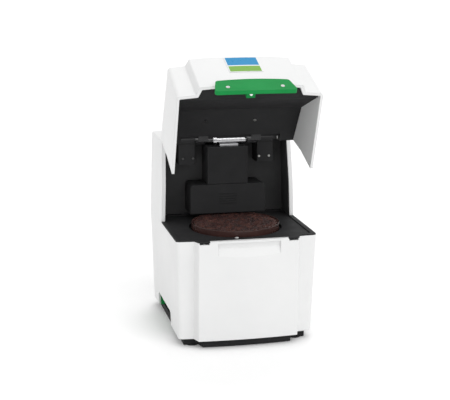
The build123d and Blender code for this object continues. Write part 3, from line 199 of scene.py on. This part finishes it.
def screws_painted_glint_right(name):
    """Black-coated screw steel, with a painted highlight that makes the screws on the right-hand side of the hinge
    bright.
    """
    skin = Skin(name)
    marks = skin.noise(300.0, detail=4.0, roughness=0.7)
    coated = skin.mix(marks, (0.05, 0.05, 0.05), (0.09, 0.09, 0.09))
    # Painted highlight: screws right of the centre plane get a bright steel colour in place of the black coating
    bright = skin.mix(marks, (0.26, 0.26, 0.25), (0.38, 0.38, 0.37))
    glint_side = skin.past(skin.sideways(), 0.0, SCREW_FADE)
    return worked(skin, skin.mix(glint_side, coated, bright), marks, (0.28, 0.42))


def clear_glass(name):
    """Clear glass with a trace of wiped film."""
    skin = Skin(name)
    skin.set("Base Color", skin.mix(skin.spread(skin.noise(80.0)), (0.9, 0.96, 0.97), (0.97, 0.99, 1.0)))
    skin.set("Roughness", skin.spread(skin.noise(140.0, detail=4.0), result=(0.02, 0.08)))
    skin.set("Transmission Weight", 1.0)
    return skin.material


def label_fields(name):
    """The plain label: a blue field over a green one, with a thin white line between them and round them."""
    skin = Skin(name)
    along_hood = skin.tree.nodes.new("ShaderNodeVectorMath")
    along_hood.operation = "DOT_PRODUCT"
    along_hood.inputs[1].default_value = HOOD_UP
    skin.join(skin.place, along_hood.inputs[0])
    height = along_hood.outputs["Value"]
    from_centre = skin.tree.nodes.new("ShaderNodeMath")
    from_centre.operation = "ABSOLUTE"
    skin.join(skin.sideways(), from_centre.inputs[0])

    half_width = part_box("label_plate")[1].x
    deck_level = HINGE.dot(HOOD_UP) - (HINGE.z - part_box("deck_tray")[1].z)
    low, high = deck_level + LABEL_LOW, deck_level + LABEL_HIGH
    split = low + (high - low) * LABEL_SPLIT

    fine = skin.noise(700.0)
    blue = skin.mix(fine, (0.006, 0.22, 0.47), (0.010, 0.26, 0.53))
    green_field = skin.mix(fine, (0.16, 0.36, 0.04), (0.21, 0.43, 0.06))
    paper = skin.mix(fine, (0.78, 0.80, 0.80), (0.82, 0.83, 0.83))
    tone = skin.mix(skin.past(height, split - LABEL_LINE, LABEL_BLUR), green_field, paper)
    tone = skin.mix(skin.past(height, split + LABEL_LINE, LABEL_BLUR), tone, blue)
    tone = skin.mix(skin.past(from_centre.outputs[0], half_width - LABEL_LINE, LABEL_BLUR), tone, paper)
    tone = skin.mix(skin.past(height, low + LABEL_LINE, LABEL_BLUR), paper, tone)
    tone = skin.mix(skin.past(height, high - LABEL_LINE, LABEL_BLUR), tone, paper)
    skin.set("Base Color", tone)
    skin.set("Roughness", skin.spread(skin.noise(90.0, detail=4.0), result=(0.25, 0.4)))
    skin.set("Normal", skin.bump(skin.noise(1200.0), FINE_RELIEF, 0.4))
    skin.set("Specular IOR Level", 0.2)
    return skin.material


def grain_skin(name, colours):
    """Seed coats: each grain its own brown, with fine creases."""
    skin = Skin(name)
    cells = skin.tree.nodes.new("ShaderNodeTexVoronoi")
    cells.inputs["Scale"].default_value = 180.0
    skin.join(skin.place, cells.inputs["Vector"])
    chance = skin.tree.nodes.new("ShaderNodeSeparateXYZ")
    skin.join(cells.outputs["Color"], chance.inputs[0])
    ramp = skin.tree.nodes.new("ShaderNodeValToRGB")
    browns = ramp.color_ramp.elements
    browns[0].color = (*colours[0], 1.0)
    browns[1].color = (*colours[-1], 1.0)
    for number, colour in enumerate(colours[1:-1], 1):
        browns.new(number / (len(colours) - 1)).color = (*colour, 1.0)
    skin.join(chance.outputs["X"], ramp.inputs[0])
    skin.set("Base Color", ramp.outputs["Color"])
    skin.set("Roughness", skin.spread(skin.noise(500.0), result=(0.35, 0.6)))
    skin.set("Normal", skin.bump(skin.noise(900.0, detail=4.0), 0.0002, 0.6))
    return skin.material


def board_skin(name):
    """Circuit board: green mask with lighter tracks under it."""
    skin = Skin(name)
    tracks = skin.tree.nodes.new("ShaderNodeTexBrick")
    for socket, value in (
        ("Scale", 90.0), ("Mortar Size", 0.06), ("Mortar Smooth", 0.1), ("Color1", (0.012, 0.11, 0.045, 1.0)),
        ("Color2", (0.018, 0.15, 0.06, 1.0)), ("Mortar", (0.05, 0.28, 0.12, 1.0)),
    ):
        tracks.inputs[socket].default_value = value
    skin.join(skin.place, tracks.inputs["Vector"])
    skin.set("Base Color", tracks.outputs["Color"])
    skin.set("Roughness", skin.spread(skin.noise(60.0), result=(0.25, 0.4)))
    skin.set("Normal", skin.bump(tracks.outputs["Fac"], 0.00003, 0.5))
    return skin.material


# Plastics
white = moulded("housing white", (0.760, 0.763, 0.763), (0.795, 0.797, 0.795), rough=(0.42, 0.5),
                mottle=9.0, grain=1400.0, depth=0.00002, edge=0.0012, specular=0.4)
black = moulded("black plastic", (0.021, 0.021, 0.022), (0.028, 0.028, 0.029), rough=(0.62, 0.75),
                mottle=16.0, grain=1100.0, depth=0.00003, edge=0.0008, specular=0.12)
deck_black = moulded("black deck", (0.022, 0.022, 0.023), (0.029, 0.029, 0.030), rough=(0.55, 0.65),
                     mottle=16.0, grain=1400.0, depth=0.00001, edge=0.0008, specular=0.08)
# The bay liner's black is lighter than the other blacks: painted fill light that offsets the shade inside the bay
bay_black_painted_fill = moulded("black bay with painted fill", (0.052, 0.052, 0.053), (0.062, 0.062, 0.063), rough=(0.62, 0.75),
                    mottle=16.0, grain=1100.0, depth=0.00003, edge=0.0008, specular=0.1)
head_black = moulded("black head", (0.025, 0.025, 0.026), (0.031, 0.031, 0.032), rough=(0.62, 0.75),
                     mottle=16.0, grain=1100.0, depth=0.00003, edge=0.0008, specular=0.08)
green = moulded("green plastic", (0.011, 0.235, 0.055), (0.016, 0.275, 0.068), rough=(0.42, 0.52),
                mottle=20.0, grain=1300.0, depth=0.00002, edge=0.0010, specular=0.06)
dish_brown = moulded("dish plastic", (0.038, 0.017, 0.015), (0.060, 0.026, 0.022), rough=(0.18, 0.28),
                     mottle=30.0, grain=900.0, depth=0.00001, edge=0.0006, specular=0.5)
rubber = moulded("rubber", (0.012, 0.012, 0.012), (0.022, 0.022, 0.022), rough=(0.6, 0.75), mottle=25.0,
                 grain=700.0, depth=0.00005, edge=0.0008, specular=0.25)
black_coat = moulded("black coated metal", (0.014, 0.014, 0.015), (0.024, 0.024, 0.026), rough=(0.38, 0.48),
                     mottle=18.0, grain=1600.0, depth=0.00003, edge=0.0006, specular=0.4)

# Metals
rod_steel = metal("ground steel", (0.42, 0.42, 0.43), (0.62, 0.62, 0.63), (0.22, 0.34),
                  stretch=(60.0, 1.0, 1.0))
polished = metal("polished steel", (0.72, 0.72, 0.73), (0.86, 0.86, 0.87), (0.08, 0.16), scale=200.0)
plated = metal("zinc plated steel", (0.42, 0.42, 0.42), (0.60, 0.60, 0.59), (0.28, 0.42), scale=300.0)
sheet = metal("plated sheet steel", (0.46, 0.47, 0.48), (0.60, 0.61, 0.62), (0.3, 0.42),
              stretch=(1.0, 30.0, 30.0))
aluminium = metal("anodised aluminium", (0.55, 0.56, 0.58), (0.68, 0.69, 0.71), (0.3, 0.42),
                  stretch=(30.0, 30.0, 1.0))
bearing = metal("ground bearing steel", (0.58, 0.58, 0.60), (0.74, 0.74, 0.76), (0.15, 0.25),
                stretch=(30.0, 30.0, 1.0))
mirror = metal("mirror", (0.86, 0.86, 0.88), (0.92, 0.92, 0.94), (0.01, 0.03), scale=100.0, depth=0.000002)
rod_finish = hinge_steel("hinge steel")
glint_screw_finish = screws_painted_glint_right("screws with painted glint")

# Other finishes
glass = clear_glass("clear glass")
label = label_fields("label")
grain_brown = grain_skin("grain", [
    (0.022, 0.008, 0.007), (0.036, 0.011, 0.009), (0.055, 0.016, 0.012), (0.090, 0.030, 0.020),
])
board = board_skin("circuit board")

# Every node takes the finish of its slot, and some have one of their own
by_slot = {
    "housing_white": white, "black_plastic": black, "black_metal": black_coat, "green_plastic": green,
    "label_print": label, "rod_steel": rod_steel, "polished_steel": polished, "plain_steel": plated,
    "aluminium": aluminium, "rubber": rubber, "glass": glass, "mirror": mirror, "dish_plastic": dish_brown,
    "sample": grain_brown, "board_green": board, "bearing_steel": bearing, "sheet_steel": sheet,
}
by_node = {
    "deck_tray": deck_black, "bay_liner": bay_black_painted_fill, "deck_stud": plated, "hinge_rod": rod_finish,
    "optical_head": head_black, "neck_cover": head_black, "hinge_bracket_left": head_black,
    "hinge_bracket_right": head_black, "bracket_screws": glint_screw_finish, "liner_screws": glint_screw_finish,
}
slot_of = {entry["node"]: entry["material_slot"] for entry in frame["record"]["subparts"]}
for name, node in nodes.items():
    node.data.materials.clear()
    node.data.materials.append(by_node.get(name, by_slot[slot_of[name]]))

# Loose grain on the sample's top, which is level out to CROWN_LEVEL and falls by CROWN_RISE at the rim
random.seed(11)
fill_low, fill_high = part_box("sample_fill")
fill_centre = (fill_low + fill_high) / 2
fill_radius = (fill_high.x - fill_low.x) / 2
CROWN_RISE = 0.0012
CROWN_LEVEL = 0.053
CROWN_FALL = 0.016
GRAIN_COUNT = 2600
GRAIN_LONG = 0.0029
GRAIN_WIDE = 0.0016
GRAIN_FLATNESS = 0.85
GRAIN_SIZES = (0.8, 1.12)
GRAIN_LIFTS = (-0.0010, 0.0001)
GRAIN_TILT = 0.35
RINGS = 6
SIDES = 8


def grain_points():
    """Points of one grain, an ellipsoid with a pole at each end."""
    points = [(0.0, 0.0, 1.0)]
    for ring in range(1, RINGS):
        turn = pi * ring / RINGS
        points += [(sin(turn) * cos(2 * pi * k / SIDES), sin(turn) * sin(2 * pi * k / SIDES), cos(turn))
                   for k in range(SIDES)]
    return points + [(0.0, 0.0, -1.0)]


def grain_faces():
    """Faces between the points of one grain."""
    last = 1 + (RINGS - 1) * SIDES
    faces = [(0, 1 + k, 1 + (k + 1) % SIDES) for k in range(SIDES)]
    for ring in range(RINGS - 2):
        start = 1 + ring * SIDES
        faces += [(start + k, start + SIDES + k, start + SIDES + (k + 1) % SIDES, start + (k + 1) % SIDES)
                  for k in range(SIDES)]
    start = last - SIDES
    return faces + [(last, start + (k + 1) % SIDES, start + k) for k in range(SIDES)]


def grain_place():
    """Where one grain lies: its spot on the crowned top, its lean and its size."""
    reach = (fill_radius - GRAIN_LONG) * (random.random() ** 0.5)
    turn = random.uniform(0.0, 2.0 * pi)
    crown = CROWN_RISE * (1.0 - min(1.0, max(0.0, reach - CROWN_LEVEL) / CROWN_FALL))
    spot = Vector((fill_centre.x + reach * cos(turn), fill_centre.y + reach * sin(turn),
                   fill_high.z - CROWN_RISE + crown + random.uniform(*GRAIN_LIFTS)))
    size = random.uniform(*GRAIN_SIZES)
    lean = Euler((pi / 2 + random.uniform(-GRAIN_TILT, GRAIN_TILT), 0.0, random.uniform(0.0, 2.0 * pi)))
    sides = (GRAIN_WIDE * size, GRAIN_WIDE * size * GRAIN_FLATNESS, GRAIN_LONG * size, 1.0)
    return Matrix.Translation(spot) @ lean.to_matrix().to_4x4() @ Matrix.Diagonal(sides)


def scattered_grain():
    """One mesh with all the loose grains, each lying its own way."""
    shape, faces = grain_points(), grain_faces()
    vertices, polygons = [], []
    for _ in range(GRAIN_COUNT):
        place = grain_place()
        base = len(vertices)
        vertices += [place @ Vector(point) for point in shape]
        polygons += [tuple(base + index for index in face) for face in faces]
    mesh = bpy.data.meshes.new("loose_grain")
    mesh.from_pydata(vertices, [], polygons)
    mesh.polygons.foreach_set("use_smooth", [True] * len(polygons))
    mesh.materials.append(grain_brown)
    loose = bpy.data.objects.new("loose_grain", mesh)
    scene.collection.objects.link(loose)
    return loose


loose_grain = scattered_grain()
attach(loose_grain, "dish_table")

# Floor, light and background
FLOOR_HALF = 60.0
FLOOR_GLOW = 0.07
WORLD_LIGHT = 0.88


def seen_directly(tree):
    """One for camera, glossy and transmission rays, and zero for the rays that light the object."""
    rays = tree.nodes.new("ShaderNodeLightPath")
    total = rays.outputs["Is Camera Ray"]
    for name in ("Is Glossy Ray", "Is Transmission Ray"):
        larger = tree.nodes.new("ShaderNodeMath")
        larger.operation = "MAXIMUM"
        tree.links.new(total, larger.inputs[0])
        tree.links.new(rays.outputs[name], larger.inputs[1])
        total = larger.outputs[0]
    return total


def pale_floor():
    """A wide matt floor that keeps the shadow and is seen a little lighter than it is."""
    mesh = bpy.data.meshes.new("floor")
    corners = [(-FLOOR_HALF, -FLOOR_HALF, 0), (FLOOR_HALF, -FLOOR_HALF, 0), (FLOOR_HALF, FLOOR_HALF, 0),
               (-FLOOR_HALF, FLOOR_HALF, 0)]
    mesh.from_pydata(corners, [], [(0, 1, 2, 3)])
    skin = Skin("pale floor")
    skin.set("Base Color", skin.mix(skin.noise(2.0), (0.93, 0.93, 0.93), (0.94, 0.94, 0.94)))
    skin.set("Roughness", 0.9)
    skin.set("Specular IOR Level", 0.0)
    skin.set("Emission Color", (1.0, 1.0, 1.0, 1.0))
    skin.set("Emission Strength", skin.spread(seen_directly(skin.tree), (0.0, 1.0), (0.0, FLOOR_GLOW)))
    mesh.materials.append(skin.material)
    plane = bpy.data.objects.new("floor", mesh)
    scene.collection.objects.link(plane)
    return plane


def studio_world():
    """White where it is seen, and a little dimmer where it lights the object."""
    world = bpy.data.worlds.new("studio")
    world.use_nodes = True
    tree = world.node_tree
    tree.nodes.clear()
    choice = tree.nodes.new("ShaderNodeMixShader")
    tree.links.new(seen_directly(tree), choice.inputs[0])
    for place, strength in enumerate((WORLD_LIGHT, 1.0), 1):
        background = tree.nodes.new("ShaderNodeBackground")
        background.inputs["Color"].default_value = (1.0, 1.0, 1.0, 1.0)
        background.inputs["Strength"].default_value = strength
        tree.links.new(background.outputs[0], choice.inputs[place])
    output = tree.nodes.new("ShaderNodeOutputWorld")
    tree.links.new(choice.outputs[0], output.inputs[0])
    return world


def soft_sun(name, strength, width, turn):
    """Light from a disc of the sky. Its width and its turn about X, Y and Z are in degrees."""
    light = bpy.data.lights.new(name, "SUN")
    light.energy = strength
    light.angle = radians(width)
    lamp = bpy.data.objects.new(name, light)
    lamp.rotation_euler = Euler([radians(angle) for angle in turn])
    scene.collection.objects.link(lamp)


floor = pale_floor()
scene.world = studio_world()
soft_sun("soft sun", strength=0.75, width=50.0, turn=(48.0, 0.0, 22.0))
soft_sun("soft back light", strength=0.32, width=14.0, turn=(-20.0, 9.0, 0.0))

# The photograph's camera, to the left of the part's front and above it
AZIMUTH = radians(12.62)
ELEVATION = radians(12.11)
DISTANCE = 1.7978
TARGET = Vector((-0.0204, -0.0675, 0.2205))
LENS_MM = 90.17
SENSOR_MM = 36.0
FARTHEST_SEEN = 200.0
camera_data = bpy.data.cameras.new("camera")
camera_data.lens = LENS_MM
camera_data.sensor_width = SENSOR_MM
camera_data.clip_end = FARTHEST_SEEN
camera = bpy.data.objects.new("camera", camera_data)
away = Vector((-sin(AZIMUTH) * cos(ELEVATION), -cos(AZIMUTH) * cos(ELEVATION), sin(ELEVATION)))
camera.location = TARGET + DISTANCE * away
camera.rotation_euler = (-away).to_track_quat("-Z", "Y").to_euler()
scene.collection.objects.link(camera)
scene.camera = camera
